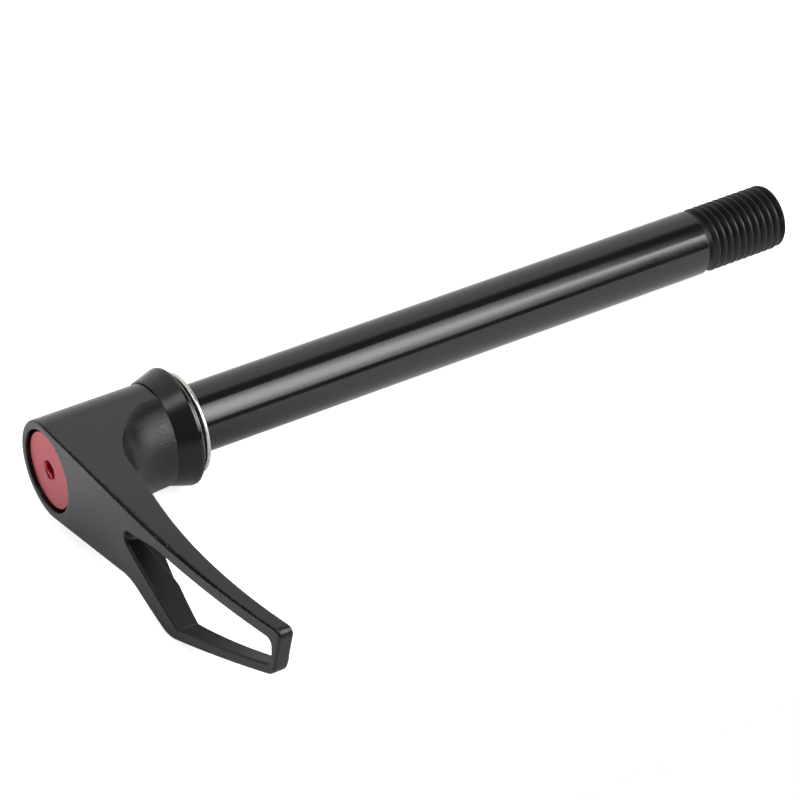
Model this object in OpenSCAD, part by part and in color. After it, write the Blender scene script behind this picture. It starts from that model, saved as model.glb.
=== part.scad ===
// Bicycle thru axle with a pull-out indexing lever, lying as it comes to rest.
// X runs along the axle from its head to its threaded tip, Z is up, sizes are in millimetres.
// The origin is the centre of the face that seats against the fork or frame.

/* [Axle] */
// Diameter of the smooth shank
shank_d = 12; // [10:0.5:15]
// Length from the seat face to the threaded tip
axle_len = 123; // [95:1:200]
// Length of the threaded end
thread_len = 19; // [10:1:30]
// Thread pitch
thread_pitch = 1.5; // [1:0.25:2]
// How far the thread crests lie under the shank's surface
thread_allowance = 0.02; // [0.01:0.01:0.15]
// Radial height of the chamfer on the tip
tip_chamfer = 0.2; // [0.1:0.05:0.8]
// Length of the chamfer on the tip
tip_chamfer_len = 0.25; // [0.1:0.05:0.9]
// Diameter of the bore that lightens the shank
bore_d = 7; // [4:0.5:7.5]
// Distance from the seat face to the end of the full bore
bore_start = 8; // [5:1:30]
// Depth of the relief turned into the shank under the washer and the ring
relief_depth = 0.2; // [0.16:0.02:0.4]

/* [Collar] */
// Largest diameter of the conical collar
collar_d = 20.7; // [19.5:0.1:24]
// Diameter of the collar where it meets the lever
collar_back_d = 18.3; // [17:0.1:19.2]
// Diameter of the collar's front face
collar_front_d = 18.7; // [18:0.1:19.2]
// Length of the collar's cone
cone_len = 3.8; // [2:0.1:8]
// Width of the rim at the largest diameter
rim_len = 0.4; // [0.2:0.1:2]
// Length of the polished bevel in front of the rim
bevel_len = 0.7; // [0.3:0.1:2]

/* [Washer and seal] */
// Diameter of the steel washer
washer_d = 18; // [16:0.1:20]
// Thickness of the steel washer
washer_t = 0.8; // [0.5:0.1:2]
// Diameter of the rubber ring behind the washer
seal_d = 17.3; // [15:0.1:18]
// Thickness of the rubber ring
seal_t = 0.5; // [0.3:0.1:2]
// Radial clearance of the washer on the shank, and of the ring in its relief
ring_clearance = 0.05; // [0.02:0.01:0.1]

/* [Coupling] */
// Number of spline teeth
spline_count = 18; // [12:1:24]
// Diameter over the spline teeth
spline_d = 13; // [11:0.1:13.6]
// Depth of a spline tooth
spline_depth = 0.8; // [0.5:0.1:1]
// Share of the tooth spacing that a tooth fills at its foot
spline_foot_share = 0.72; // [0.6:0.02:0.8]
// Share of the tooth spacing that a tooth fills at its tip
spline_tip_share = 0.32; // [0.2:0.02:0.4]
// Clearance around the spline teeth
spline_clearance = 0.08; // [0.05:0.01:0.15]
// How far the lever pulls out to clear the teeth
lever_travel = 4.8; // [4:0.1:5.2]
// Distance between the tooth ends with the lever pulled out
spline_release = 0.4; // [0.2:0.1:1]
// Room in the lever past the end of the axle's teeth
spline_room = 0.8; // [0.3:0.1:1.5]
// Diameter of the round stem that guides the lever
stem_d = 8; // [7:0.1:9]
// Radial clearance of the lever on the stem
guide_clearance = 0.05; // [0.02:0.01:0.1]
// Thickness of the lever's guiding web
web_t = 3; // [2:0.1:3.5]

/* [Cap screw and spring] */
// Diameter of the cap's disc
cap_d = 14; // [13:0.1:14.4]
// Thickness of the cap's disc
cap_t = 2; // [1.5:0.1:2.5]
// Depth of the disc under the lever's face
cap_recess = 0.55; // [0.3:0.05:1]
// Radial gap between the disc and the lever's pocket
cap_gap = 0.3; // [0.2:0.05:0.4]
// Chamfer on the disc's edge
cap_chamfer = 0.3; // [0.1:0.05:0.6]
// Width of the hexagon socket across its flats
hex_af = 3; // [2:0.5:3.5]
// Depth of the hexagon socket
hex_depth = 2.6; // [1.5:0.1:4]
// Diameter of the cap's screw
screw_d = 5; // [4.5:0.1:5.5]
// Length of the cap's screw under the disc
screw_len = 8; // [5:0.5:10]
// Clearance of the screw in its tapped hole
screw_clearance = 0.02; // [0.01:0.01:0.05]
// Diameter of the spring wire
wire_d = 1; // [0.7:0.05:1.05]
// Number of spring turns
spring_turns = 4; // [3:1:4]
// Radial clearance of the spring on the stem
spring_clearance = 0.35; // [0.2:0.05:0.6]
// Gap between a spring end and its seat
spring_gap = 0.05; // [0.02:0.01:0.1]

/* [Lever] */
// Diameter of the lever's barrel
barrel_d = 17.7; // [17:0.1:19]
// Length of the lever's barrel
barrel_len = 19.86; // [19:0.1:26]
// Distance from the axle's centre to the arm's upper tip corner
arm_reach = 67.6; // [58:0.5:90]
// How far the arm's top edge lies above the barrel at the tip
arm_rise = 0.5; // [0:0.05:2]
// Distance from the axle's centre to the highest point of the top edge
crown_reach = 28; // [20:1:40]
// How far the top edge lies above the barrel at its highest point
crown_rise = 0.7; // [0.2:0.05:2]
// Rounding of the top edge's highest point
crown_round = 120; // [20:10:160]
// Height of the arm's end
tip_height = 9.2; // [7.5:0.1:12]
// How far the lower tip corner is set back
tip_rake = 1.8; // [0:0.1:4]
// Rounding of the upper tip corner
tip_upper_round = 1.3; // [0.5:0.1:2]
// Rounding of the lower tip corner
tip_lower_round = 2.6; // [0.5:0.1:3]
// Distance from the axle's centre to the finger elbow
elbow_reach = 39; // [36:0.5:44]
// Drop of the elbow under the axle's centre
elbow_drop = 8.8; // [7.5:0.1:11]
// Rounding of the elbow
elbow_round = 5; // [2:0.5:8]
// Distance from the axle's centre to the waist
waist_reach = 27.9; // [24:0.1:30]
// Drop of the waist under the axle's centre
waist_drop = 4.15; // [3:0.05:5]
// Rounding of the waist
waist_round = 8; // [3:0.5:12]

/* [Window] */
// Width of the upper rail where the window's upper sides meet
rail_shoulder_w = 2.65; // [1.5:0.05:3.5]
// Width of the upper rail beside the window's tip end
rail_tip_w = 2.55; // [1.5:0.05:4]
// Distance from the axle's centre to where the window's upper sides meet
shoulder_reach = 36.2; // [33:0.1:42]
// Rounding where the window's upper sides meet
shoulder_round = 10; // [4:1:15]
// Width of the bar across the arm's tip
tip_bar_w = 2.35; // [1.5:0.05:4]
// Height of the lower rail at the tip
lower_rail_tip = 2.1; // [1.5:0.1:4]
// Height of the lower rail at the elbow
lower_rail_elbow = 3.15; // [2:0.05:4]
// How far the window's elbow lies beyond the finger elbow
window_elbow_shift = 2.95; // [1:0.05:4]
// Distance from the axle's centre to where the sides of the window's root would meet
window_root_reach = 24; // [21:0.1:26]
// Depth under the arm's top edge of where the sides of the window's root would meet
window_root_depth = 5.4; // [4.5:0.1:6.5]
// Rounding of the window's root end
window_root_round = 1.45; // [0.8:0.05:2]
// Rounding of the window's elbow
window_elbow_round = 0.9; // [0.3:0.1:3]
// Rounding of the window's tip corners
window_tip_round = 1.1; // [0.3:0.1:1.5]
// Thickness of the arm at the window's root, where it is relieved from behind
root_thickness = 2.65; // [2.2:0.05:4]
// Slope of the relief along the window's lower side, in degrees
root_relief_slope = 12.5; // [10:0.5:20]
// Width of the relief beside the window
root_relief_w = 1.2; // [0.6:0.1:2]

/* [Lever profile] */
// Length of the straight neck beside the collar
neck_len = 2; // [1:0.1:4]
// Diameter of the neck beside the arm
neck_d = 18.5; // [18:0.1:19.5]
// Radius of the neck's fillet into the arm
neck_fillet = 11; // [9:0.1:12]
// Slope of the arm's inner face beside the fillet, in degrees
inner_slope = 8; // [5:0.5:12]
// Radius of the arm's inner face beside the neck
inner_bend = 100; // [70:1:120]
// Radius of the arm's inner face beside the tip
tip_bend = 115; // [100:1:200]
// Distance from the axle's centre to where the arm's inner face turns back
turn_reach = 44; // [42:0.5:48]
// Distance from the axle's centre to where the outer face starts to bend
bend_start = 25; // [20:1:30]
// Radius of the arm's outer face
outer_bend = 217; // [190:1:300]

/* [Hidden] */
$fn = 96;

cut = 0.5;
arc_steps = 8;
shank_r = shank_d / 2;
stem_r = stem_d / 2;
barrel_r = barrel_d / 2;

// Places along the axle, from the seat face back to the lever's face
seal_x = -washer_t;
collar_x = seal_x - seal_t;
rim_x = collar_x - bevel_len;
joint_x = rim_x - rim_len - cone_len;
face_x = joint_x - barrel_len;
cap_x = face_x + cap_recess;
stem_end_x = cap_x + cap_t;
spline_len = lever_travel - spline_release;
web_x = joint_x - spline_len - spline_room;
pocket_x = web_x - web_t;
spring_len = pocket_x - stem_end_x - 2 * spring_gap;

// The thread: crests a pitch apart, with the flanks, depth and flats of a metric thread.
// The shank's surface runs on to where the first crest would end.
thread_x = axle_len - thread_len;
thread_r = shank_r - thread_allowance;
thread_depth = thread_pitch * sin(60) * 17 / 24;
crest_half = thread_pitch / 16;
root_half = thread_pitch / 8;
crest_count = floor(thread_len / thread_pitch);
shank_end_x = thread_x + thread_pitch + crest_half;
tip_r = thread_r - tip_chamfer;
relief_r = shank_r - relief_depth;
drill_point = 118;

// The lever's outline, seen along the axle with the arm level
top_edge = [0, barrel_r];
crown = [-crown_reach, barrel_r + crown_rise];
tip_upper = [-arm_reach, barrel_r + arm_rise];
tip_lower = [tip_rake - arm_reach, barrel_r + arm_rise - tip_height];
elbow = [-elbow_reach, -elbow_drop];
waist = [-waist_reach, -waist_drop];
waist_dist = norm(waist);
belly_angle = atan2(waist[1], waist[0]) + acos(barrel_r / waist_dist);
belly = barrel_r * [cos(belly_angle), sin(belly_angle)];

function unit(v) = v / norm(v);
function angle_of(v) = atan2(v[1], v[0]);
function at_reach(p, q, y) = p[1] + (q[1] - p[1]) * (y - p[0]) / (q[0] - p[0]);
function nearest_turn(a) = a > 180 ? a - 360 : a < -180 ? a + 360 : a;
function corner_centre(p, q, s, r) =
    let (half = acos(unit(p - q) * unit(s - q)) / 2)
    q + unit(unit(p - q) + unit(s - q)) * r / sin(half);
function round_corner(p, q, s, r) =
    let (half = acos(unit(p - q) * unit(s - q)) / 2)
    let (centre = corner_centre(p, q, s, r), run = r / tan(half))
    let (from = angle_of(q + unit(p - q) * run - centre))
    let (sweep = nearest_turn(angle_of(q + unit(s - q) * run - centre) - from))
    [for (i = [0:arc_steps]) let (a = from + sweep * i / arc_steps) centre + r * [cos(a), sin(a)]];

arm_outline = concat(
    [top_edge],
    round_corner(top_edge, crown, tip_upper, crown_round),
    round_corner(crown, tip_upper, tip_lower, tip_upper_round),
    round_corner(tip_upper, tip_lower, elbow, tip_lower_round),
    round_corner(tip_lower, elbow, waist, elbow_round),
    round_corner(elbow, waist, belly, waist_round),
    [belly]);

// The window's corners follow the rails around it
window_tip_y = tip_bar_w - arm_reach;
window_root = [-window_root_reach, at_reach(top_edge, crown, -window_root_reach) - window_root_depth];
shoulder = [-shoulder_reach, at_reach(crown, tip_upper, -shoulder_reach) - rail_shoulder_w];
window_upper = [window_tip_y, at_reach(crown, tip_upper, window_tip_y) - rail_tip_w];
window_lower = [window_tip_y, at_reach(tip_lower, elbow, window_tip_y) + lower_rail_tip];
window_elbow = [elbow[0] - window_elbow_shift, elbow[1] + lower_rail_elbow];
root_centre = corner_centre(window_elbow, window_root, shoulder, window_root_round);
relief_run = norm(window_elbow - root_centre);
relief_side = window_root_round + root_relief_w;
relief_end_x = root_thickness + relief_run * tan(root_relief_slope);
window_outline = concat(
    round_corner(window_elbow, window_root, shoulder, window_root_round),
    round_corner(window_root, shoulder, window_upper, shoulder_round),
    round_corner(shoulder, window_upper, window_lower, window_tip_round),
    round_corner(window_upper, window_lower, window_elbow, window_tip_round),
    round_corner(window_lower, window_elbow, window_root, window_elbow_round));

// The lever's profile, as radius and place along the axle
neck_r = neck_d / 2;
fillet_x = joint_x - neck_len;
fillet_centre = [neck_r + neck_fillet, fillet_x];
fillet_end = fillet_centre + neck_fillet * [-sin(inner_slope), -cos(inner_slope)];
profile_reach = arm_reach + 2 * barrel_r;
slope_run = (turn_reach - inner_bend * sin(inner_slope) - fillet_end[0]) / cos(inner_slope);
slope_end = fillet_end + slope_run * [cos(inner_slope), -sin(inner_slope)];
turn_x = slope_end[1] - inner_bend * (1 - cos(inner_slope));

// The lever comes to rest with its elbow on the surface that the rim and the tip lie on
collar_r = collar_d / 2;
tip_rest_x = axle_len - tip_chamfer_len;
floor_slope = (collar_r - thread_r) / (tip_rest_x - rim_x);
floor_drop = collar_r + (rim_x - turn_x) * floor_slope;
elbow_centre = corner_centre(tip_lower, elbow, waist, elbow_round);
lever_rest = asin((floor_drop - elbow_round) / norm(elbow_centre)) - atan(elbow_centre[1] / elbow_centre[0]);

// Turns a drawing of [across, up] so that it runs along the axle from x
module along(x, len) {
    translate([x, 0, 0]) rotate([90, 0, 90]) linear_extrude(len) children();
}

// Spins a drawing of [radius, place along the axle]
module spun() {
    rotate([0, 90, 0]) rotate_extrude() children();
}

module rod(r, from, to) {
    translate([from, 0, 0]) rotate([0, 90, 0]) cylinder(r = r, h = to - from);
}

function spline_tooth(i, grow) =
    let (step = 360 / spline_count, tip = spline_d / 2 + grow, root = spline_d / 2 - spline_depth + grow)
    let (side = grow / tip * 180 / PI, a = i * step)
    let (foot = spline_foot_share / 2, top = spline_tip_share / 2)
    [for (p = [[root, -foot], [tip, -top], [tip, top], [root, foot]])
        let (b = a + p[1] * step + sign(p[1]) * side) p[0] * [cos(b), sin(b)]];

module spline_form(grow) {
    polygon([for (i = [0:spline_count - 1]) each spline_tooth(i, grow)]);
}

// The shank, the collar and the stem are turned from one bar
function crest(x) = let (flank = (thread_pitch / 2 - crest_half - root_half))
    [[thread_r - thread_depth, x - crest_half - flank], [thread_r, x - crest_half],
     [thread_r, x + crest_half], [thread_r - thread_depth, x + crest_half + flank]];
function chamfered(p) = [min(p[0], tip_r + (axle_len - p[1]) * tip_chamfer / tip_chamfer_len), p[1]];
thread_points = [for (i = [2:crest_count - 1]) for (p = crest(thread_x + i * thread_pitch))
    if (p[1] < axle_len - thread_pitch / 4) chamfered(p)];

module axle() {
    color([0.07, 0.07, 0.075]) difference() {
        union() {
            spun() polygon(concat(
                [[0, stem_end_x], [stem_r, stem_end_x], [stem_r, joint_x],
                 [collar_back_d / 2, joint_x], [collar_r, joint_x + cone_len], [collar_r, rim_x],
                 [collar_front_d / 2, collar_x], [relief_r, collar_x], [relief_r, 0], [shank_r, 0],
                 [shank_r, shank_end_x], [shank_r - thread_depth, shank_end_x + thread_depth / sqrt(3)]],
                thread_points,
                [[tip_r, axle_len], [0, axle_len]]));
            rotate([lever_rest, 0, 0]) along(joint_x - spline_len, spline_len + cut) spline_form(0);
        }
        rod(bore_d / 2, bore_start, axle_len + cut);
        translate([bore_start, 0, 0]) rotate([0, -90, 0])
            cylinder(r1 = bore_d / 2, r2 = 0, h = bore_d / 2 / tan(drill_point / 2));
        rod(screw_d / 2 + screw_clearance, stem_end_x - cut, stem_end_x + screw_len + cut);
    }
}

module seat_washer() {
    color([0.78, 0.78, 0.77]) difference() {
        rod(washer_d / 2, -washer_t, 0);
        rod(shank_r + ring_clearance, -washer_t - cut, cut);
    }
}

module seal_ring() {
    color([0.03, 0.03, 0.03]) difference() {
        rod(seal_d / 2, collar_x, seal_x);
        rod(relief_r + ring_clearance, collar_x - cut, seal_x + cut);
    }
}

// The hollow of a large arc that touches bottom_x at turn_reach, over a range of radii
module arc_between(from, to, bottom_x, bend) {
    intersection() {
        translate([turn_reach, bottom_x + bend]) circle(bend, $fn = 360);
        translate([from, face_x]) square([to - from, barrel_len + cut]);
    }
}

// The side view of the lever, spun round the axle
module lever_profile() {
    difference() {
        translate([0, face_x]) square([profile_reach, barrel_len]);
        translate(fillet_centre) circle(neck_fillet);
        polygon([[neck_r, fillet_x], [neck_r, joint_x + cut], [slope_end[0], joint_x + cut],
            slope_end, fillet_end]);
        arc_between(slope_end[0], turn_reach, turn_x, inner_bend);
        arc_between(turn_reach, profile_reach + cut, turn_x, tip_bend);
        difference() {
            translate([bend_start, face_x - cut]) square([profile_reach, barrel_len]);
            translate([bend_start, face_x + outer_bend]) circle(outer_bend, $fn = 360);
        }
    }
}

// A sloping ledge behind the lower side of the window, deepest at its root
module window_relief() {
    translate([face_x, root_centre[0], root_centre[1]]) rotate([angle_of(window_root - window_elbow), 0, 0])
        translate([0, 0, -relief_side]) linear_extrude(relief_side + cut)
            polygon([[root_thickness, window_root_round / 2], [relief_end_x, -relief_run],
                [barrel_len, -relief_run], [barrel_len, window_root_round / 2]]);
}

module lever() {
    color([0.16, 0.16, 0.165]) rotate([lever_rest, 0, 0]) difference() {
        intersection() {
            along(face_x - cut, barrel_len + 2 * cut) {
                circle(barrel_r);
                polygon(arm_outline);
            }
            spun() lever_profile();
        }
        along(face_x - 2 * cut, barrel_len) polygon(window_outline);
        window_relief();
        along(web_x, joint_x - web_x + cut) spline_form(spline_clearance);
        rod(stem_r + guide_clearance, pocket_x - cut, web_x + cut);
        rod(cap_d / 2 + cap_gap, face_x - cut, pocket_x);
    }
}

// A round wire wound in a coil, with a closed turn at each end
spring_r = stem_r + spring_clearance + wire_d / 2;
wire_sides = 8;
turn_steps = 24;
end_rise = wire_d + 2 * spring_gap;
spring_rise = spring_len - wire_d;
function spring_place(t) = t < 1 ? t * end_rise
    : t > spring_turns - 1 ? spring_rise - (spring_turns - t) * end_rise
    : end_rise + (spring_rise - 2 * end_rise) * (t - 1) / (spring_turns - 2);
ring_count = spring_turns * turn_steps;
function wire_point(i, k) =
    let (a = 360 * i / turn_steps, b = 360 * k / wire_sides, out = spring_r + wire_d / 2 * cos(b))
    [stem_end_x + spring_gap + wire_d / 2 + spring_place(i / turn_steps) + wire_d / 2 * sin(b),
     out * cos(a), out * sin(a)];

module return_spring() {
    points = [for (i = [0:ring_count]) for (k = [0:wire_sides - 1]) wire_point(i, k)];
    sides = [for (i = [0:ring_count - 1]) for (k = [0:wire_sides - 1])
        let (n = (k + 1) % wire_sides, a = i * wire_sides, b = a + wire_sides)
        [a + k, a + n, b + n, b + k]];
    first_end = [for (k = [0:wire_sides - 1]) wire_sides - 1 - k];
    last_end = [for (k = [0:wire_sides - 1]) ring_count * wire_sides + k];
    color([0.6, 0.6, 0.62]) polyhedron(points, concat(sides, [first_end, last_end]));
}

module cap_screw() {
    color([0.73, 0.16, 0.2]) difference() {
        spun() polygon([[0, cap_x], [cap_d / 2 - cap_chamfer, cap_x], [cap_d / 2, cap_x + cap_chamfer],
            [cap_d / 2, stem_end_x], [screw_d / 2, stem_end_x], [screw_d / 2, stem_end_x + screw_len],
            [0, stem_end_x + screw_len]]);
        translate([cap_x - cut, 0, 0]) rotate([0, 90, 0])
            cylinder(r = hex_af / 2 / cos(30), h = hex_depth + cut, $fn = 6);
    }
}

axle();
seat_washer();
seal_ring();
lever();
return_spring();
cap_screw();
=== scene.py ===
"""A bicycle thru axle with its pull-out lever, dressed for a studio photograph on a white floor."""

import math

import bmesh
import bpy
import numpy as np
from mathutils import Matrix, Vector
from mathutils.geometry import delaunay_2d_cdt


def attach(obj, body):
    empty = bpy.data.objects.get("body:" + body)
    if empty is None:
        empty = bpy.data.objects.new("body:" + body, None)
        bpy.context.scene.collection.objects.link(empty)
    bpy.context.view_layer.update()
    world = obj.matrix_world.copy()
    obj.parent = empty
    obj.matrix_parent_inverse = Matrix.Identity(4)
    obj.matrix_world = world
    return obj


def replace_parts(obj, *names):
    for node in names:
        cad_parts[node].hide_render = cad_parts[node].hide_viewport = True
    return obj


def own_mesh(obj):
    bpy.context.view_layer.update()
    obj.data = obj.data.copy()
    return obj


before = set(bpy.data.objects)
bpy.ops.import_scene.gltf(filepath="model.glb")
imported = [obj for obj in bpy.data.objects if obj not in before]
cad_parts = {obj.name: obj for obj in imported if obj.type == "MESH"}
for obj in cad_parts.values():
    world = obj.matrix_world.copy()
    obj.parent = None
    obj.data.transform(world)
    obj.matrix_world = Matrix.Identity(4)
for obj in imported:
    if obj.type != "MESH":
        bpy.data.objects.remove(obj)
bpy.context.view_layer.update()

# Axle: one bar of aluminium alloy, turned to the shank, the conical collar and the lever's stem.
# Its teeth are broached behind the collar, its tip is threaded and drilled hollow, and the whole
# bar is polished and black anodised. Its cone keeps a satin finish and its thread is cut last.

MM = 0.001
AROUND = 144
lever_droop = math.radians(3.77989)
turn_angles = lever_droop + np.arange(AROUND) * 2 * math.pi / AROUND

shank_r, shank_end, tip_x = 6.0, 105.55, 123.0
stem_r, stem_end, stem_edge = 4.0, -23.51, 0.25
screw_hole_r, screw_hole_end = 2.52, -15.01
teeth_start, joint_x, joint_face_r = -10.6, -6.2, 7.5
teeth_count, tooth_tip_r, tooth_foot_r, tooth_chamfer = 18, 6.5, 5.7, 0.25
tooth_half_tip, tooth_flank = 0.125, 0.25
collar_back_r, collar_r, collar_front_r = 9.15, 10.35, 9.35
cone_end, rim_end, collar_front_x = -2.4, -2.0, -1.3
relief_r, collar_edge = 5.8, 0.16
thread_pitch, thread_r, crest_place = 1.5, 5.98, 105.663
thread_depth = thread_pitch * math.sin(math.pi / 3) * 17 / 24
thread_lead_in, run_out_w = 0.5 * thread_pitch, 0.25
run_out_x = shank_end + thread_depth / math.sqrt(3)
thread_start = run_out_x + run_out_w
crest = [(-0.09, 0.06), (-0.05, 0.0), (0.05, 0.0), (0.09, 0.06)]
groove = [(0.35, 0.93), (0.41, 1.0), (0.5, 1.02), (0.59, 1.0), (0.65, 0.93)]
tip_chamfer, tip_chamfer_len = 0.2, 0.25
bore_r, bore_end, bore_point, bore_edge, tip_edge = 3.5, 8.0, 5.9, 0.4, 0.1


def ring(x, r):
    """A closed line of points round the axle, at x and radius r, which may vary round it."""
    x = np.broadcast_to(np.asarray(x, float), AROUND)
    return np.stack([x, r * np.cos(turn_angles), r * np.sin(turn_angles)], 1)


def rounded(points, radius, steps=4, straight=math.radians(88), most=0.45):
    """The same line of (x, radius) points with its corners rounded, short of half of each side."""
    pts = [np.array(p, float) for p in points]
    out = [pts[0]]
    for p, q, s in zip(pts, pts[1:], pts[2:]):
        back, ahead = np.linalg.norm(p - q), np.linalg.norm(s - q)
        a, b = (p - q) / back, (s - q) / ahead
        half = math.acos(max(-1.0, min(1.0, float(a @ b)))) / 2
        if half > straight:
            out.append(q)
            continue
        run = min(radius / math.tan(half), most * back, most * ahead)
        start, end = q + a * run, q + b * run
        for i in range(steps + 1):
            t = i / steps
            out.append((1 - t) ** 2 * start + 2 * t * (1 - t) * q + t * t * end)
    out.append(pts[-1])
    return out


def turned(points, edge):
    """The rings of a turned shape, from a line of (x, radius) points with its corners rounded."""
    return [ring(x, r) for x, r in rounded(points, edge)]


def strips(rings):
    """Vertices and four-sided faces that join each ring of points to the next."""
    faces = []
    for k in range(len(rings) - 1):
        near, far = k * AROUND, (k + 1) * AROUND
        for i in range(AROUND):
            j = (i + 1) % AROUND
            faces.append((near + i, near + j, far + j, far + i))
    return np.concatenate(rings), faces


def solid_piece(name, verts, faces, sharp=32, turned_by=0.0):
    """A smooth mesh in metres, from points in millimetres, with its doubled points joined."""
    same_point, no_length = 2e-7, 1e-7
    mesh = bpy.data.meshes.new(name)
    mesh.from_pydata([tuple(v) for v in np.asarray(verts) * MM], [], faces)
    b = bmesh.new()
    b.from_mesh(mesh)
    bmesh.ops.remove_doubles(b, verts=b.verts, dist=same_point)
    bmesh.ops.dissolve_degenerate(b, edges=b.edges, dist=no_length)
    bmesh.ops.delete(b, geom=[v for v in b.verts if not v.link_faces], context="VERTS")
    bmesh.ops.recalc_face_normals(b, faces=b.faces)
    b.to_mesh(mesh)
    b.free()
    mesh.transform(Matrix.Rotation(turned_by, 4, "X"))
    mesh.shade_smooth()
    mesh.set_sharp_from_angle(angle=math.radians(sharp))
    piece = bpy.data.objects.new(name, mesh)
    bpy.context.scene.collection.objects.link(piece)
    even = piece.modifiers.new("even shading", "WEIGHTED_NORMAL")
    even.keep_sharp = True
    return piece


def tooth_radius(grow=0.0):
    """The radius of the toothed part round it. Its tips and flanks are shares of one tooth."""
    place = (np.arange(AROUND) * teeth_count / AROUND + 0.5) % 1 - 0.5
    share = np.clip((np.abs(place) - tooth_half_tip) / tooth_flank, 0, 1)
    return tooth_tip_r + grow - share * (tooth_tip_r - tooth_foot_r)


def thread_rings(turns_before=2, turns_after=2):
    """The helical thread, from its run-out groove to the chamfered tip.

    The points of its crest and groove are shares of the pitch along it and of the depth into it.
    """
    rings = []
    turns = int((tip_x - thread_start) / thread_pitch) + turns_after
    for turn in range(-turns_before, turns):
        for phase, depth in crest + groove:
            turned_so_far = turn + phase + (turn_angles - lever_droop) / 2 / math.pi
            x = np.clip(crest_place + thread_pitch * turned_so_far, thread_start, tip_x)
            begin = np.clip((x - thread_start) / thread_lead_in, 0, 1)
            r = thread_r - thread_depth * (1 - (1 - depth) * begin)
            chamfer = thread_r - tip_chamfer + (tip_x - x) * tip_chamfer / tip_chamfer_len
            rings.append(ring(x, np.minimum(r, chamfer)))
    return rings


axle_rings = turned([(screw_hole_end, 0), (screw_hole_end, screw_hole_r), (stem_end, screw_hole_r),
                     (stem_end, stem_r), (teeth_start, stem_r)], stem_edge)
axle_rings += [ring(teeth_start, tooth_radius(-tooth_chamfer)),
               ring(teeth_start + tooth_chamfer, tooth_radius()), ring(joint_x, tooth_radius())]
axle_rings += turned([(joint_x, joint_face_r), (joint_x, collar_back_r), (cone_end, collar_r),
                      (rim_end, collar_r), (collar_front_x, collar_front_r),
                      (collar_front_x, relief_r), (0, relief_r), (0, shank_r), (shank_end, shank_r),
                      (run_out_x, thread_r - thread_depth),
                      (thread_start, thread_r - thread_depth)], collar_edge)
axle_rings += thread_rings()
axle_rings += turned([(tip_x, thread_r - tip_chamfer), (tip_x, bore_r + bore_edge),
                      (tip_x - bore_edge, bore_r), (bore_end, bore_r), (bore_point, 0)], tip_edge)
axle = solid_piece("axle_bar", *strips(axle_rings), sharp=30)


class Material:
    """A node material, with short calls for the nodes that the pieces share."""

    def __init__(self, name):
        self.data = bpy.data.materials.new(name)
        self.data.use_nodes = True
        self.nodes = self.data.node_tree.nodes
        self.links = self.data.node_tree.links
        self.shader = self.nodes["Principled BSDF"]
        self.place = self.nodes.new("ShaderNodeTexCoord").outputs["Object"]

    def set(self, **values):
        """Plain values of the shader."""
        for name, value in values.items():
            self.shader.inputs[name.replace("_", " ")].default_value = value

    def paint(self, name, output):
        """A value of the shader that varies over the piece."""
        self.links.new(output, self.shader.inputs[name])

    def noise(self, scale, detail, stretch=(1, 1, 1)):
        mapping = self.nodes.new("ShaderNodeMapping")
        mapping.inputs["Scale"].default_value = stretch
        self.links.new(self.place, mapping.inputs["Vector"])
        n = self.nodes.new("ShaderNodeTexNoise")
        n.inputs["Scale"].default_value = scale
        n.inputs["Detail"].default_value = detail
        self.links.new(mapping.outputs["Vector"], n.inputs["Vector"])
        return n.outputs["Fac"]

    def given(self, name):
        """A value that the mesh holds at each of its points."""
        n = self.nodes.new("ShaderNodeAttribute")
        n.attribute_name = name
        return n.outputs["Fac"]

    def span(self, value, low, high, to_low=0.0, to_high=1.0):
        """A value that goes from to_low to to_high while the given one goes from low to high."""
        n = self.nodes.new("ShaderNodeMapRange")
        for socket, v in zip(n.inputs[1:5], (low, high, to_low, to_high)):
            socket.default_value = v
        self.links.new(value, n.inputs["Value"])
        return n.outputs["Result"]

    def spread(self, noise, to_low, to_high):
        """A noise, which lies mostly between 0.3 and 0.7, spread over the wanted values."""
        return self.span(noise, 0.3, 0.7, to_low, to_high)

    def maths(self, kind, a, b):
        n = self.nodes.new("ShaderNodeMath")
        n.operation = kind
        for socket, v in zip(n.inputs, (a, b)):
            if isinstance(v, (int, float)):
                socket.default_value = v
            else:
                self.links.new(v, socket)
        return n.outputs[0]

    def colours(self, share, first, second):
        """The first colour where the share is 0, the second where it is 1."""
        n = self.nodes.new("ShaderNodeMix")
        n.data_type = "RGBA"
        self.links.new(share, n.inputs["Factor"])
        for socket, v in zip((n.inputs["A"], n.inputs["B"]), (first, second)):
            if isinstance(v, tuple):
                socket.default_value = (*v, 1)
            else:
                self.links.new(v, socket)
        return n.outputs["Result"]

    def along(self, axis):
        """How far each point lies along one axis of the piece."""
        n = self.nodes.new("ShaderNodeSeparateXYZ")
        self.links.new(self.place, n.inputs["Vector"])
        return n.outputs[axis]

    def bump(self, height, distance, strength=1.0, under=None):
        """Grain of a depth in metres, on top of the grain under it."""
        n = self.nodes.new("ShaderNodeBump")
        n.inputs["Distance"].default_value = distance
        if isinstance(strength, float):
            n.inputs["Strength"].default_value = strength
        else:
            self.links.new(strength, n.inputs["Strength"])
        self.links.new(height, n.inputs["Height"])
        if under is not None:
            self.links.new(under, n.inputs["Normal"])
        return n.outputs["Normal"]


def dress(piece, material):
    """The piece with this material alone."""
    piece.data.materials.clear()
    piece.data.materials.append(material.data)


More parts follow.
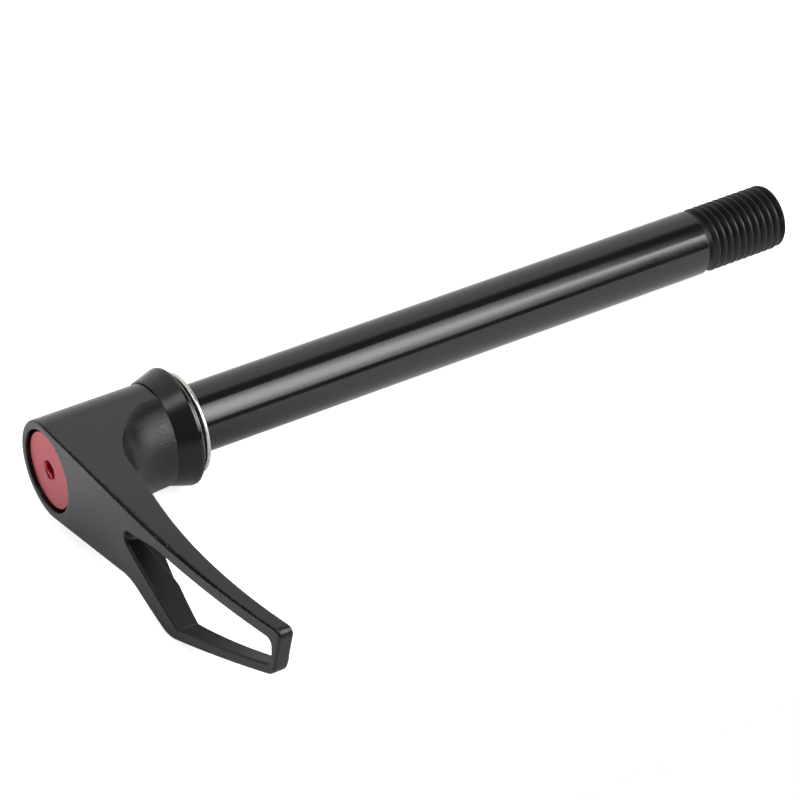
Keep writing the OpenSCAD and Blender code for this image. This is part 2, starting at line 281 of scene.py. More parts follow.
satin_border, cut_border = 0.1, 0.3
satin_dulls, cut_dulls = 0.13, 0.24
lathe_depth, lathe_share, grit_depth = 0.000004, 0.6, 0.00002
gloss_black = Material("polished black anodising")
cloud = gloss_black.noise(scale=70, detail=3)
dark_gloss, pale_gloss = (0.004, 0.004, 0.0042), (0.007, 0.007, 0.0073)
gloss_black.paint("Base Color", gloss_black.colours(cloud, dark_gloss, pale_gloss))
axle_x = gloss_black.along("X")
satin = gloss_black.span(axle_x, (cone_end - satin_border) * MM, cone_end * MM, 1.0, 0.0)
cut = gloss_black.span(axle_x, shank_end * MM, (shank_end + cut_border) * MM)
polished = gloss_black.spread(cloud, 0.1, 0.14)
duller_cone = gloss_black.maths("MULTIPLY", satin, satin_dulls)
duller_thread = gloss_black.maths("MULTIPLY", cut, cut_dulls)
duller = gloss_black.maths("ADD", duller_cone, duller_thread)
gloss_black.paint("Roughness", gloss_black.maths("ADD", polished, duller))
unpolished = gloss_black.maths("MAXIMUM", cut, satin)
gloss_black.paint("Specular IOR Level", gloss_black.span(unpolished, 0.0, 1.0, 0.5, 0.32))
lathe_lines = gloss_black.noise(scale=900, detail=2, stretch=(60, 1, 1))
lathe_marks = gloss_black.bump(lathe_lines, lathe_depth, lathe_share)
grit = gloss_black.maths("MULTIPLY", gloss_black.noise(scale=4200, detail=2), satin)
gloss_black.paint("Normal", gloss_black.bump(grit, grit_depth, 1.0, lathe_marks))
dress(axle, gloss_black)
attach(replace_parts(axle, "axle"), "axle")

# Seat washer: a flat ring cut from bright steel strip, with its edges tumbled smooth. It lies loose
# on the axle between the collar and the frame end, and keeps the turning collar off the frame.

washer_t, washer_r, washer_hole_r, washer_edge = 0.8, 9.0, 6.05, 0.34
tumbled_depth = 0.000006


def flat_ring(name, front, thickness, hole_r, r, edge):
    """A flat ring round the axle, behind its front face, with all its edges rounded."""
    back, middle = front - thickness, front - thickness / 2
    line = [(middle, hole_r), (back, hole_r), (back, r), (front, r), (front, hole_r),
            (middle, hole_r)]
    return solid_piece(name, *strips(turned(line, edge)))


washer = flat_ring("washer_ring", 0, washer_t, washer_hole_r, washer_r, washer_edge)
bright_steel = Material("tumbled bright steel")
bright_steel.set(Metallic=1.0)
tumbled = bright_steel.noise(scale=1500, detail=3)
dark_steel, pale_steel = (0.5, 0.48, 0.44), (0.7, 0.67, 0.62)
bright_steel.paint("Base Color", bright_steel.colours(tumbled, dark_steel, pale_steel))
bright_steel.paint("Roughness", bright_steel.spread(tumbled, 0.22, 0.4))
bright_steel.paint("Normal", bright_steel.bump(tumbled, tumbled_depth))
dress(washer, bright_steel)
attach(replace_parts(washer, "seat_washer"), "washer")

# Seal ring: a thin black rubber ring stretched into the relief behind the washer. It keeps dirt
# out of the gap and stops the washer from rattling.

seal_hole_r, seal_r, seal_t, seal_edge = relief_r + 0.05, 8.65, 0.5, 0.15
powder_depth = 0.00001
seal = flat_ring("seal_band", -washer_t, seal_t, seal_hole_r, seal_r, seal_edge)
rubber = Material("matt black rubber")
rubber.set(Specular_IOR_Level=0.3)
powder = rubber.noise(scale=2200, detail=3)
dark_rubber, pale_rubber = (0.004, 0.004, 0.004), (0.009, 0.009, 0.009)
rubber.paint("Base Color", rubber.colours(powder, dark_rubber, pale_rubber))
rubber.paint("Roughness", rubber.spread(powder, 0.6, 0.8))
rubber.paint("Normal", rubber.bump(powder, powder_depth))
dress(seal, rubber)
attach(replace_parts(seal, "seal_ring"), "axle")

# Lever: one piece of aluminium alloy, forged and then milled. Its barrel holds the spring and the
# teeth that grip the axle, and its arm has a window that lightens it. It is bead-blasted before it
# is black anodised, so it is matt, with bright nicks where its outer edges were knocked.

barrel_r, face_x = 8.85, -26.06
arm_reach, tip_height, tip_rake = 67.6, 9.2, 1.8
crown_rise, tip_rise = 0.7, 0.5
crown_point = (-28.0, barrel_r + crown_rise)
tip_upper_point = (-arm_reach, barrel_r + tip_rise)
tip_lower_point = (tip_rake - arm_reach, barrel_r + tip_rise - tip_height)
elbow_point = (-39.0, -8.8)
waist_point = (-27.9, -4.15)
crown_round, tip_upper_round, tip_lower_round, elbow_round, waist_round = 120, 1.3, 2.6, 5, 8
rail_shoulder, rail_tip, tip_bar = 2.65, 2.55, 2.35
lower_rail_tip, lower_rail_elbow, window_elbow_shift = 2.1, 3.15, 2.95
shoulder_y, root_y, root_depth = -36.2, -24.0, 5.4
shoulder_round, root_round, window_elbow_round, window_tip_round = 10, 1.45, 0.9, 1.1
neck_r, neck_end, neck_fillet = 9.25, -8.2, 11.0
inner_slope = math.radians(8)
inner_bend, tip_bend, turn_reach = 100.0, 115.0, 44.0
bend_start, outer_bend = 25.0, 217.0
pocket_r, pocket_end, web_end, guide_r, tooth_clearance = 7.3, -14.4, -11.4, 4.05, 0.08
outer_edge, inner_edge, neck_edge, window_edge, pocket_edge = 0.42, 0.4, 0.16, 0.25, 0.2
outer_edge_steps, inner_edge_steps, pocket_steps = (40, 90), (24, 46, 68, 90), (0, 0.3, 1, 3)
neck_edge_r, arm_edge_r, window_edge_w = 20, 30, 1
root_thickness, relief_slope, relief_w = 2.65, math.radians(12.5), 1.2
ledge_gap, ledge_overlap = 0.05, 0.5
point_gap, net_gap = 1.0, 1.5
net_y, net_z = (-arm_reach + 2, -20), (-9, 10)
fillet_steps, arm_side = (*range(0, 80, 8), 82), np.radians(np.arange(86, 276, 3.0))


def round_corner(p, q, s, radius, step=math.radians(9)):
    """The arc that rounds the corner q between p and s."""
    p, q, s = (np.array(v, float) for v in (p, q, s))
    a, b = (p - q) / np.linalg.norm(p - q), (s - q) / np.linalg.norm(s - q)
    half = math.acos(float(a @ b)) / 2
    middle = (a + b) / np.linalg.norm(a + b)
    centre = q + middle * radius / math.sin(half)
    first, last = (q + v * radius / math.tan(half) - centre for v in (a, b))
    start = math.atan2(first[1], first[0])
    sweep = (math.atan2(last[1], last[0]) - start + math.pi) % (2 * math.pi) - math.pi
    count = max(2, math.ceil(abs(sweep) / step))
    angles = [start + sweep * i / count for i in range(count + 1)]
    return [centre + radius * np.array([math.cos(a), math.sin(a)]) for a in angles]


def height_at(p, q, y):
    """The height of the line through p and q at y."""
    return p[1] + (q[1] - p[1]) * (y - p[0]) / (q[0] - p[0])


def spaced(points, gap):
    """A closed line with points added along its long straights."""
    out = []
    for p, q in zip(points, points[1:] + points[:1]):
        count = max(1, math.ceil(float(np.linalg.norm(np.subtract(q, p))) / gap))
        out += [np.array(p) + (np.array(q) - np.array(p)) * i / count for i in range(count)]
    return np.array(out)


def inset(line, distance):
    """A closed line moved to its left by distance."""
    back, ahead = line - np.roll(line, 1, 0), np.roll(line, -1, 0) - line
    back /= np.linalg.norm(back, axis=1)[:, None]
    ahead /= np.linalg.norm(ahead, axis=1)[:, None]
    normal = np.stack([-(back + ahead)[:, 1], (back + ahead)[:, 0]], 1)
    normal /= np.linalg.norm(normal, axis=1)[:, None]
    lean = (normal * np.stack([-back[:, 1], back[:, 0]], 1)).sum(1)
    return line + normal * (distance / lean)[:, None]


def line_distance(points, line):
    """How far each point lies from a closed line."""
    best = np.full(len(points), np.inf)
    for p, q in zip(line, np.roll(line, -1, 0)):
        d = q - p
        t = np.clip(((points - p) @ d) / (d @ d), 0, 1)
        best = np.minimum(best, np.linalg.norm(points - p - t[:, None] * d, axis=1))
    return best


def inside(points, line):
    """Which points lie inside a closed line."""
    y, z = points[:, 0], points[:, 1]
    odd = np.zeros(len(points), bool)
    for (y0, z0), (y1, z1) in zip(line, np.roll(line, -1, 0)):
        if z0 != z1:
            odd ^= ((z0 > z) != (z1 > z)) & (y < y0 + (y1 - y0) * (z - z0) / (z1 - z0))
    return odd


def lever_outline(barrel_points=68):
    """The lever seen along the axle: the barrel's circle, and the arm that leaves it."""
    reach = math.hypot(*waist_point)
    belly_angle = math.atan2(waist_point[1], waist_point[0]) + math.acos(barrel_r / reach)
    belly = (barrel_r * math.cos(belly_angle), barrel_r * math.sin(belly_angle))
    barrel = [barrel_r * np.array([math.cos(a), math.sin(a)])
              for a in np.linspace(belly_angle, math.pi / 2, barrel_points)]
    corners = [((0, barrel_r), crown_point, tip_upper_point, crown_round),
               (crown_point, tip_upper_point, tip_lower_point, tip_upper_round),
               (tip_upper_point, tip_lower_point, elbow_point, tip_lower_round),
               (tip_lower_point, elbow_point, waist_point, elbow_round),
               (elbow_point, waist_point, belly, waist_round)]
    return spaced(barrel + [p for c in corners for p in round_corner(*c)], point_gap)


def window_corners():
    """Where the window's sides would meet: root, shoulder, upper tip, lower tip and elbow."""
    top, tip_y = (0, barrel_r), tip_bar - arm_reach
    return ((root_y, height_at(top, crown_point, root_y) - root_depth),
            (shoulder_y, height_at(crown_point, tip_upper_point, shoulder_y) - rail_shoulder),
            (tip_y, height_at(crown_point, tip_upper_point, tip_y) - rail_tip),
            (tip_y, height_at(tip_lower_point, elbow_point, tip_y) + lower_rail_tip),
            (elbow_point[0] - window_elbow_shift, elbow_point[1] + lower_rail_elbow))


def window_outline():
    """The window through the arm, which follows the rails around it."""
    root, shoulder, upper, lower, elbow = window_corners()
    corners = [(elbow, root, shoulder, root_round), (root, shoulder, upper, shoulder_round),
               (shoulder, upper, lower, window_tip_round), (upper, lower, elbow, window_tip_round),
               (lower, elbow, root, window_elbow_round)]
    return spaced([p for c in corners for p in round_corner(*c)], point_gap)[::-1]


def window_ledge():
    """The sloping ledge behind the window's lower side: its outline, and its height anywhere."""
    root, shoulder, elbow = (np.array(window_corners()[i]) for i in (0, 1, 4))
    down = (elbow - root) / np.linalg.norm(elbow - root)
    up = (shoulder - root) / np.linalg.norm(shoulder - root)
    across = np.array([down[1], -down[0]])
    half = math.acos(float(down @ up)) / 2
    centre = root + (down + up) / np.linalg.norm(down + up) * root_round / math.sin(half)
    run, side, lead = float(np.linalg.norm(elbow - centre)), root_round + relief_w, root_round / 2
    slope = run * math.tan(relief_slope) / (run + lead)
    ends = [(-lead, -side), (-lead, ledge_overlap), (run, ledge_overlap), (run, -side)]
    line = np.array([centre + down * t + across * s for t, s in ends])
    return line, lambda points: face_x + root_thickness + ((points - centre) @ down + lead) * slope


def outer_face(r):
    """Where the arm's outer face lies along the axle, at each radius."""
    past = np.maximum(r - bend_start, 0)
    return face_x + outer_bend - np.sqrt(outer_bend ** 2 - past ** 2)


def inner_face(r):
    """Where the arm's inner face lies, at each radius: neck, fillet, slope and two large arcs."""
    centre_r = neck_r + neck_fillet
    fillet_end_r = centre_r - neck_fillet * math.sin(inner_slope)
    slope_end_r = turn_reach - inner_bend * math.sin(inner_slope)
    fillet_end_x = neck_end - neck_fillet * math.cos(inner_slope)
    slope_end_x = fillet_end_x - (slope_end_r - fillet_end_r) * math.tan(inner_slope)
    turn_x = slope_end_x - inner_bend * (1 - math.cos(inner_slope))
    up_neck = np.clip((r - collar_back_r) / (neck_r - collar_back_r), 0, 1)
    neck = joint_x + (neck_end - joint_x) * up_neck
    fillet = neck_end - np.sqrt(np.maximum(neck_fillet ** 2 - (centre_r - r) ** 2, 0))
    slope = fillet_end_x - (r - fillet_end_r) * math.tan(inner_slope)
    bend = np.where(r < turn_reach, inner_bend, tip_bend)
    arcs = turn_x + bend - np.sqrt(bend ** 2 - (r - turn_reach) ** 2)
    return np.select([r <= neck_r, r < fillet_end_r, r < slope_end_r], [neck, fillet, slope], arcs)


def arc_rise(radius, angles):
    """How far an arc of this radius has moved sideways, at each of the angles along it."""
    return [radius * (1 - math.cos(math.radians(a))) for a in angles]


def edge_drop(distance, radius):
    """How far a rounded edge falls away at a distance from the outline."""
    left = np.clip(radius - distance, 0, radius)
    return radius - np.sqrt(np.maximum(radius ** 2 - left ** 2, 0))


def lever_net(outline, window, hole, ledge):
    """A flat net of triangles that follows every line at which the lever's faces change."""
    bends = arc_rise(inner_edge, inner_edge_steps) + arc_rise(outer_edge, outer_edge_steps)
    loops = [outline, window]
    loops += [inset(outline, d) for d in bends] + [inset(window, d) for d in bends]
    level = turn_angles - lever_droop
    rounds = (hole, *(pocket_r + share * pocket_edge for share in pocket_steps))
    loops += [np.stack([r * np.cos(level), r * np.sin(level)], 1) for r in rounds]
    loops += [spaced(list(line), point_gap) for line in (ledge, inset(ledge, ledge_gap))]
    points, edges = [], []
    for loop in loops:
        base = len(points)
        points += [tuple(p) for p in loop]
        edges += [(base + i, base + (i + 1) % len(loop)) for i in range(len(loop))]
    for r in (collar_back_r, *(neck_r + rise for rise in arc_rise(neck_fillet, fillet_steps))):
        base = len(points)
        points += [(r * math.cos(a), r * math.sin(a)) for a in arm_side]
        edges += [(base + i, base + i + 1) for i in range(len(arm_side) - 1)]
    for y in np.arange(*net_y, net_gap):
        points += [(y, z) for z in np.arange(*net_z, net_gap)]
    same_place = 1e-5
    verts, _, faces, _, _, _ = delaunay_2d_cdt(points, edges, [], 0, same_place)
    return np.array([tuple(v) for v in verts]), np.array([f for f in faces if len(f) == 3])


def edge_walls(triangles, count):
    """The faces that join the net's free edges on one side of the lever to the other side."""
    rim = {}
    for tri in triangles:
        for a, b in ((tri[0], tri[1]), (tri[1], tri[2]), (tri[2], tri[0])):
            rim.setdefault((min(a, b), max(a, b)), []).append((a, b))
    free = [pairs[0] for pairs in rim.values() if len(pairs) == 1]
    return [(a, b, b + count, a + count) for a, b in free]


def lever_mesh():
    """The net lifted to the outer and to the inner face, with the pocket, web and teeth inside."""
    outline, window, hole = lever_outline(), window_outline(), tooth_radius(tooth_clearance)
    ledge, ledge_height = window_ledge()
    flat, faces = lever_net(outline, window, hole, ledge)
    centres = flat[faces].mean(1)
    body = inside(centres, outline) & ~inside(centres, window)
    r, centre_r = np.linalg.norm(flat, axis=1), np.linalg.norm(centres, axis=1)
    to_window = line_distance(flat, window)
    near = np.minimum(line_distance(flat, outline), to_window)
    along_arm = np.clip((r - neck_edge_r) / (arm_edge_r - neck_edge_r), 0, 1)
    inner_radius = neck_edge + (inner_edge - neck_edge) * along_arm
    inner_radius = np.where(to_window < window_edge_w, window_edge, inner_radius)
    pocket_drop = edge_drop(r - pocket_r, pocket_edge) * (r < pocket_r + pocket_edge)
    outer_x = outer_face(r) + edge_drop(near, outer_edge) + pocket_drop
    cut_back = inside(flat, ledge) & (line_distance(flat, ledge) > 0.5 * ledge_gap)
    inner_x = np.where(cut_back, np.minimum(inner_face(r), ledge_height(flat)), inner_face(r))
    inner_x -= edge_drop(near, inner_radius)
    level = turn_angles - lever_droop
    hole_line = np.stack([hole * np.cos(level), hole * np.sin(level)], 1)
    front = faces[body & (centre_r > pocket_r)]
    back = faces[body & ~inside(centres, hole_line)]
    count = len(flat)
    verts = [np.column_stack([outer_x, flat]), np.column_stack([inner_x, flat])]
    faces = ([tuple(f) for f in front] + [tuple(f[::-1] + count) for f in back]
             + edge_walls(faces[body], count))
    barrel_line = [(face_x + pocket_edge, pocket_r), (pocket_end, pocket_r), (pocket_end, guide_r),
                   (web_end, guide_r), (web_end, hole), (joint_x, hole)]
    barrel_verts, barrel_faces = strips(
        [np.column_stack([np.full(AROUND, x), radius * np.cos(level), radius * np.sin(level)])
         for x, radius in barrel_line])
    faces += [tuple(i + 2 * count for i in f) for f in barrel_faces]
    return np.concatenate([*verts, barrel_verts]), faces


lever = solid_piece("lever_arm", *lever_mesh(), sharp=40, turned_by=lever_droop)
crown_arc = round_corner((0, barrel_r), crown_point, tip_upper_point, crown_round)
top_edge = [(0, barrel_r), *crown_arc, tip_upper_point]
top_edge = np.array(top_edge + top_edge[-2:0:-1])
to_level = np.array(Matrix.Rotation(lever_droop, 3, "X"))
level_arm = np.array([v.co for v in lever.data.vertices]) @ to_level
to_edge = lever.data.attributes.new("to_edge", "FLOAT", "POINT")
to_edge.data.foreach_set("value", MM * line_distance(level_arm[:, 1:] / MM, top_edge))

blasted_black = Material("bead-blasted black anodising")
stain = blasted_black.noise(scale=45, detail=4)
dark_matt, pale_matt = (0.006, 0.006, 0.0061), (0.010, 0.010, 0.0101)
edge_line_black, bare_metal = (0.002, 0.002, 0.002), (0.3, 0.3, 0.31)
black = blasted_black.colours(stain, dark_matt, pale_matt)
place_x, place_y, place_z = (blasted_black.along(axis) for axis in "XYZ")
square_y = blasted_black.maths("POWER", place_y, 2.0)
square_z = blasted_black.maths("POWER", place_z, 2.0)
off_axis = blasted_black.maths("POWER", blasted_black.maths("ADD", square_y, square_z), 0.5)
beyond = blasted_black.maths("SUBTRACT", off_axis, bend_start * MM)
past_bend = blasted_black.maths("POWER", blasted_black.maths("MAXIMUM", beyond, 0.0), 2.0)
bent = blasted_black.maths("MULTIPLY", past_bend, 0.5 / (outer_bend * MM))
behind_face = blasted_black.maths("SUBTRACT", place_x, face_x * MM)
behind = blasted_black.maths("SUBTRACT", behind_face, bent)
from_edge = blasted_black.maths("MAXIMUM", blasted_black.given("to_edge"), behind)

# The darker, less glossy line along the arm's upper outer edge widens from the barrel to the middle
# of the arm and thins again to the tip, with a ragged border. Bare metal shows in its nicks.
line_at_barrel, line_at_middle, line_at_tip = 0.0002, 0.0006, 0.0001
line_widens, line_thins = (0.008, 0.028), (0.042, 0.064)
line_ragged, line_border, nicked = 0.00025, 0.00005, (0.72, 0.76)
widening = blasted_black.span(off_axis, *line_widens, line_at_barrel, line_at_middle)
thinning = blasted_black.span(off_axis, *line_thins, line_at_middle, line_at_tip)
band = blasted_black.maths("MINIMUM", widening, thinning)
border_noise = blasted_black.noise(scale=1500, detail=3)
ragged = blasted_black.spread(border_noise, -line_ragged, line_ragged)
ragged_edge = blasted_black.maths("ADD", from_edge, ragged)
past_band = blasted_black.maths("SUBTRACT", ragged_edge, band)
# A darker, less glossy line along the upper outer edge, with a soft ragged border.
dark_edge_line = blasted_black.span(past_band, -line_border, line_border, 1.0, 0.0)
knocks = blasted_black.span(blasted_black.noise(scale=1700, detail=1), *nicked)
nicks = blasted_black.maths("MULTIPLY", dark_edge_line, knocks)
black = blasted_black.colours(dark_edge_line, black, edge_line_black)
blasted_black.paint("Base Color", blasted_black.colours(nicks, black, bare_metal))
blasted_black.paint("Specular IOR Level", blasted_black.span(dark_edge_line, 0.0, 1.0, 0.34, 0.14))
blasted_black.paint("Roughness", blasted_black.spread(stain, 0.26, 0.32))

# The beads' grain is coarse round the neck, and fine on the barrel and the faces of the arm.
bead_depth, fine_share = 0.00008, 0.08
neck_flare, neck_back, neck_top = (neck_r * MM, 0.012), (-0.018, -0.016), (0.0072, 0.0084)
off_neck = blasted_black.span(off_axis, *neck_flare, 1.0, fine_share)
off_barrel = blasted_black.span(place_x, *neck_back, fine_share, 1.0)
under_top = blasted_black.span(place_z, *neck_top, 1.0, fine_share)
on_neck = blasted_black.maths("MINIMUM", off_barrel, under_top)
grain = blasted_black.maths("MINIMUM", off_neck, on_neck)
beads = blasted_black.noise(scale=5000, detail=1)
blasted_black.paint("Normal", blasted_black.bump(beads, bead_depth, grain))
dress(lever, blasted_black)
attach(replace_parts(lever, "lever"), "lever")

# Return spring: a coil of hard-drawn spring wire round the stem, with a closed turn at each end.
# It sits in the barrel, between the lever's web and the cap, and shortens when the lever is pulled.

wire_r, coil_clearance, spring_turns = 0.5, 0.35, 4
spring_r = stem_r + coil_clearance + wire_r
spring_gap, turn_gap = 0.05, 0.1
spring_start = stem_end + spring_gap
spring_len = pocket_end - stem_end - 2 * spring_gap
closed_rise = 2 * wire_r + turn_gap


def coil_place(t):
    """How far along the coil its wire has risen after t turns."""
    rise = spring_len - 2 * wire_r
    if t < 1:
        return t * closed_rise
    if t > spring_turns - 1:
        return rise - (spring_turns - t) * closed_rise
    return closed_rise + (rise - 2 * closed_rise) * (t - 1) / (spring_turns - 2)


def coil_mesh(sides=12, steps=40):
    """The wire, swept along the coil and closed at its ends."""
    verts, faces = [], []
    total = spring_turns * steps
    for i in range(total + 1):
        a = 2 * math.pi * i / steps
        for k in range(sides):
            b = 2 * math.pi * k / sides
            out = spring_r + wire_r * math.cos(b)
            x = spring_start + wire_r + coil_place(i / steps) + wire_r * math.sin(b)
            verts.append((x, out * math.cos(a), out * math.sin(a)))
    for i in range(total):
        near, far = i * sides, (i + 1) * sides
        for k in range(sides):
            j = (k + 1) % sides
            faces.append((near + k, near + j, far + j, far + k))
    faces.append(tuple(range(sides))[::-1])
    faces.append(tuple(total * sides + k for k in range(sides)))
    return np.array(verts), faces


spring = solid_piece("spring_coil", *coil_mesh())
spring_wire = Material("drawn spring wire")
spring_wire.set(Metallic=1.0)
drawn = spring_wire.noise(scale=1800, detail=3)
dark_wire, pale_wire = (0.28, 0.28, 0.29), (0.45, 0.45, 0.46)
spring_wire.paint("Base Color", spring_wire.colours(drawn, dark_wire, pale_wire))
spring_wire.paint("Roughness", spring_wire.spread(drawn, 0.25, 0.4))
dress(spring, spring_wire)
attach(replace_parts(spring, "return_spring"), "axle")
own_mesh(spring)

# Cap screw: a turned aluminium cap with a hexagon socket and a screw behind its disc, anodised red.
# It screws into the end of the stem and holds the lever and the spring on the axle.

cap_r, cap_face, cap_chamfer, cap_edge = 7.0, -25.51, 0.3, 0.08
hex_half, hex_depth, hex_point = 1.5, 2.6, 0.5
hex_lead, lead_len, lead_rise, mouth_margin = 0.2, 0.1, 0.05, 0.1
cap_flat_r, cap_screw_r, cap_screw_end = 2.2, 2.5, -15.51
turning_depth = 0.000004


def hexagon(half):
    """The radius of a hexagon at each point round it."""
    turn = (turn_angles - lever_droop + math.pi / 6) % (math.pi / 3) - math.pi / 6
    return half / np.cos(turn)


socket = hexagon(hex_half)
socket_mouth = np.full(AROUND, hex_half / math.cos(math.pi / 6) + mouth_margin)
cap_rings = [ring(cap_face + hex_depth + hex_point, np.zeros(AROUND)),
             ring(cap_face + hex_depth, socket), ring(cap_face + hex_lead + lead_len, socket),
             ring(cap_face + hex_lead, np.minimum(socket + lead_rise, socket_mouth)),
             ring(cap_face, socket_mouth)]
cap_rings += turned([(cap_face, cap_flat_r), (cap_face, cap_r - cap_chamfer),
                     (cap_face + cap_chamfer, cap_r), (stem_end, cap_r), (stem_end, cap_screw_r),
                     (cap_screw_end, cap_screw_r), (cap_screw_end, 0)], cap_edge)
cap = solid_piece("cap_disc", *strips(cap_rings), sharp=30)
red_cap = Material("red anodising")
red_cap.set(Metallic=1.0)
tint = red_cap.noise(scale=60, detail=3)
dark_red, pale_red = (0.4, 0.056, 0.07), (0.48, 0.07, 0.086)
red_cap.paint("Base Color", red_cap.colours(tint, dark_red, pale_red))
red_cap.paint("Roughness", red_cap.spread(tint, 0.28, 0.36))
turning = red_cap.noise(scale=2500, detail=2)
red_cap.paint("Normal", red_cap.bump(turning, turning_depth))
dress(cap, red_cap)
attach(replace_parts(cap, "cap_screw"), "axle")

# Floor: a white studio sweep. The axle lies on it on its collar, its tip and the lever's elbow, and
# it shows white to the camera, but still takes the axle's soft shadow. In reflections it has a
# painted glow behind the head, beside the lever and under the shank, and none in front of the head,
# which the gloss shows as painted shade.

floor_slope = (collar_r - thread_r) / (tip_x - tip_chamfer_len - rim_end)
floor_left, floor_right, floor_front, floor_back = -0.5, 0.6, -0.11, 0.7
floor_to_camera, glow_behind, glow_beside, glow_under = 0.8, 0.45, 0.3, 0.38
behind_y, beside_x, under_x = (-0.008, 0.012), (-0.037, -0.025), (0.01, 0.04)
floor_mesh = bpy.data.meshes.new("floor")
corners = [(floor_left, floor_front), (floor_right, floor_front), (floor_right, floor_back),
           (floor_left, floor_back)]
floor_drop = (collar_r + rim_end * floor_slope) * MM
floor_verts = [(x, y, x * floor_slope - floor_drop) for x, y in corners]
floor_mesh.from_pydata(floor_verts, [], [(0, 1, 2, 3)])
floor = bpy.data.objects.new("floor", floor_mesh)
bpy.context.scene.collection.objects.link(floor)
white_floor = Material("white studio floor")
white_floor.set(Roughness=0.9, Specular_IOR_Level=0.0)
paper = white_floor.noise(scale=3, detail=2)
white_floor.paint("Base Color", white_floor.colours(paper, (0.7, 0.7, 0.7), (0.72, 0.72, 0.72)))
rays = white_floor.nodes.new("ShaderNodeLightPath").outputs
# Painted light: the floor glows in reflections behind the head, beside the lever and under the
# shank. In front of the head it is left without glow, as painted shade.
behind_head = white_floor.span(white_floor.along("Y"), *behind_y, 0.0, glow_behind)
floor_x = white_floor.along("X")
under_shank = white_floor.span(floor_x, *under_x, 0.0, glow_under)
beside_lever = white_floor.span(floor_x, *beside_x, glow_beside, 0.0)
sides = white_floor.maths("MAXIMUM", beside_lever, under_shank)
painted_reflection_glow = white_floor.maths("MAXIMUM", behind_head, sides)
in_gloss = white_floor.maths("MAXIMUM", rays["Is Glossy Ray"], rays["Is Transmission Ray"])
to_gloss = white_floor.maths("MULTIPLY", in_gloss, painted_reflection_glow)
to_camera = white_floor.maths("MULTIPLY", rays["Is Camera Ray"], floor_to_camera)
glow = white_floor.nodes.new("ShaderNodeEmission")
glow.inputs["Color"].default_value = (1, 1, 1, 1)
white_floor.links.new(white_floor.maths("MAXIMUM", to_camera, to_gloss), glow.inputs["Strength"])
added = white_floor.nodes.new("ShaderNodeAddShader")
white_floor.links.new(white_floor.shader.outputs[0], added.inputs[0])
white_floor.links.new(glow.outputs[0], added.inputs[1])
white_floor.links.new(added.outputs[0], white_floor.nodes["Material Output"].inputs["Surface"])
dress(floor, white_floor)

# Room: a white wall behind the axle and a dim room in front of it and overhead, which the gloss
# shows as a pale dome and as dark bands beside the soft box.

wall_starts, wall_full = -0.03, 0.22
wall_left_end, wall_left_full = -0.75, -0.35
room_light, wall_light = 0.08, 1.0
world = bpy.data.worlds.new("studio")
bpy.context.scene.world = world
world.use_nodes = True
room, room_links = world.node_tree.nodes, world.node_tree.links


def room_span(value, low, high, to_low=0.0, to_high=1.0, kind="SMOOTHSTEP"):
    """A value that goes from to_low to to_high while the given one goes from low to high."""
    n = room.new("ShaderNodeMapRange")
    n.interpolation_type = kind
    for socket, v in zip(n.inputs[1:5], (low, high, to_low, to_high)):
        socket.default_value = v
    room_links.new(value, n.inputs["Value"])
    return n.outputs["Result"]


parts = room.new("ShaderNodeSeparateXYZ")
room_links.new(room.new("ShaderNodeTexCoord").outputs["Generated"], parts.inputs[0])
wall = room.new("ShaderNodeMath")
wall.operation = "MULTIPLY"
room_links.new(room_span(parts.outputs["Y"], wall_starts, wall_full), wall.inputs[0])
room_links.new(room_span(parts.outputs["X"], wall_left_end, wall_left_full), wall.inputs[1])
brightness = room_span(wall.outputs[0], 0.0, 1.0, room_light, wall_light, "LINEAR")
sky, white_room = room["Background"], room.new("ShaderNodeBackground")
for background in (sky, white_room):
    background.inputs["Color"].default_value = (1, 1, 1, 1)
white_room.inputs["Strength"].default_value = 1.0
room_links.new(brightness, sky.inputs["Strength"])
seen = room.new("ShaderNodeMixShader")
room_links.new(room.new("ShaderNodeLightPath").outputs["Is Camera Ray"], seen.inputs["Fac"])
room_links.new(sky.outputs[0], seen.inputs[1])
room_links.new(white_room.outputs[0], seen.inputs[2])
room_links.new(seen.outputs[0], room["World Output"].inputs["Surface"])

# Lamps: one large soft box over the camera's shoulder, brightest in its middle, which makes the
# long streak on the shank, and smaller ones at its right for the neck, at the left and overhead.

middle_cloths, cloth_gap, cloth_brightness = 4, 0.01, 1.25
middle_w, middle_h, narrower, shorter = 0.5, 0.68, 0.06, 0.14


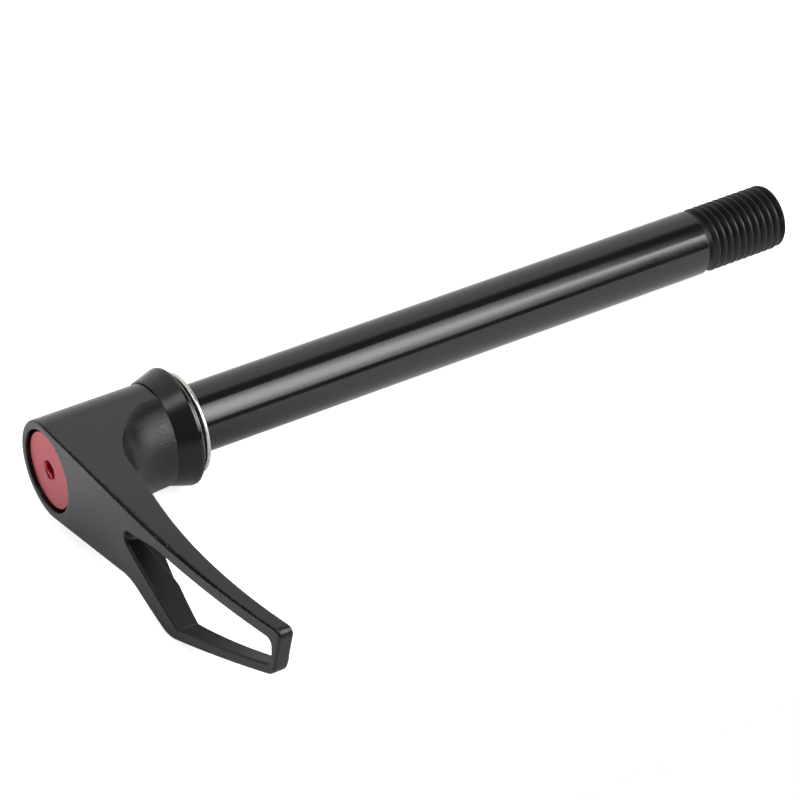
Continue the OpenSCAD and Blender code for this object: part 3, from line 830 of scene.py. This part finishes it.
def soft_box(name, place, aim, size, brightness, shape="RECTANGLE"):
    """An area lamp at place that faces aim, in metres, with the brightness of its cloth."""
    data = bpy.data.lights.new(name, "AREA")
    data.shape = shape
    data.size, data.size_y = size
    share = math.pi / 4 if shape == "ELLIPSE" else 1.0
    data.energy = brightness * math.pi * size[0] * size[1] * share
    lamp = bpy.data.objects.new(name, data)
    bpy.context.scene.collection.objects.link(lamp)
    look = Vector(np.array(aim) - np.array(place)).to_track_quat("-Z", "Y").to_matrix().to_4x4()
    look.translation = Vector(place)
    lamp.matrix_world = look


soft_box("key", place=(0.32, -0.622, 0.503), aim=(0.32, 0, 0), size=(0.5, 0.86), brightness=3.2)
for step in range(middle_cloths):
    nearer = cloth_gap * step
    soft_box(f"key middle {step}", place=(0.33, -0.614 + nearer, 0.496 - nearer), aim=(0.33, 0, 0),
             size=(middle_w - narrower * step, middle_h - shorter * step),
             brightness=cloth_brightness, shape="ELLIPSE")
soft_box("side", place=(0.675, -0.515, 0.298), aim=(0, 0, 0), size=(0.3, 0.5), brightness=6.5)
soft_box("left", place=(-0.716, -0.152, 0.28), aim=(0, 0, 0), size=(0.2, 0.2), brightness=3.0)
soft_box("top", place=(-0.136, -0.136, 0.776), aim=(0, 0, 0), size=(0.2, 0.3), brightness=6.0)

# Camera: a long lens above the head and to the lever's side, which looks down past it to the tip.
# It was set with the arm level, so it is turned with the arm, which droops to the floor.

camera_data = bpy.data.cameras.new("camera")
camera_data.sensor_width, camera_data.lens = 36, 149.97
camera_data.clip_start, camera_data.clip_end = 0.01, 20
camera = bpy.data.objects.new("camera", camera_data)
bpy.context.scene.collection.objects.link(camera)
camera_place = (-217.76 * MM, -405.17 * MM, 318.75 * MM)
camera_heading, camera_dip = 32.757, 34.416
camera_turn = Matrix.Rotation(math.radians(-camera_heading), 4, "Z")
camera_tilt = Matrix.Rotation(math.radians(90 - camera_dip), 4, "X")
level_view = Matrix.Translation(camera_place) @ camera_turn @ camera_tilt
camera.matrix_world = Matrix.Rotation(lever_droop, 4, "X") @ level_view
bpy.context.scene.camera = camera
bpy.context.scene.view_settings.view_transform = "Standard"
